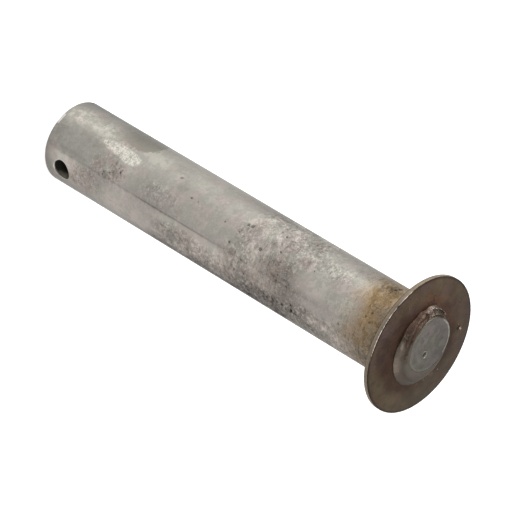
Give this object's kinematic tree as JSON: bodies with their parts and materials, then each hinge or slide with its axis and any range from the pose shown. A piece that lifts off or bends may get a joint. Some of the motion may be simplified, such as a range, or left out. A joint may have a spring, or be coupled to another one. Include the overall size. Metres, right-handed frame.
{
  "type": "lift cylinder pin",
  "caption": "Round steel pin, drilled across near its plain end, with a flat washer welded on as its head.",
  "frame": {"origin": "middle of the shank's plain end face, on the shank's axis; the pin stands on that end", "axes": "+Z along the shank, from the plain end to the head; +X along the cross hole"},
  "size_m": [0.0533, 0.0533, 0.1791],
  "materials": {
    "ground_steel": "bare ground steel, worn bright at the plain end, stained and heat tinted towards the head",
    "browned_steel": "bare steel, browned by the welding heat, with a bright edge",
    "weld_metal": "unpainted weld metal, smooth and grey brown on its wide side, rough and rusty on the other"
  },
  "bodies": {
    "root": {"shank": "ground_steel", "head_washer": "browned_steel", "weld_bead": "weld_metal"}
  },
  "joints": []
}
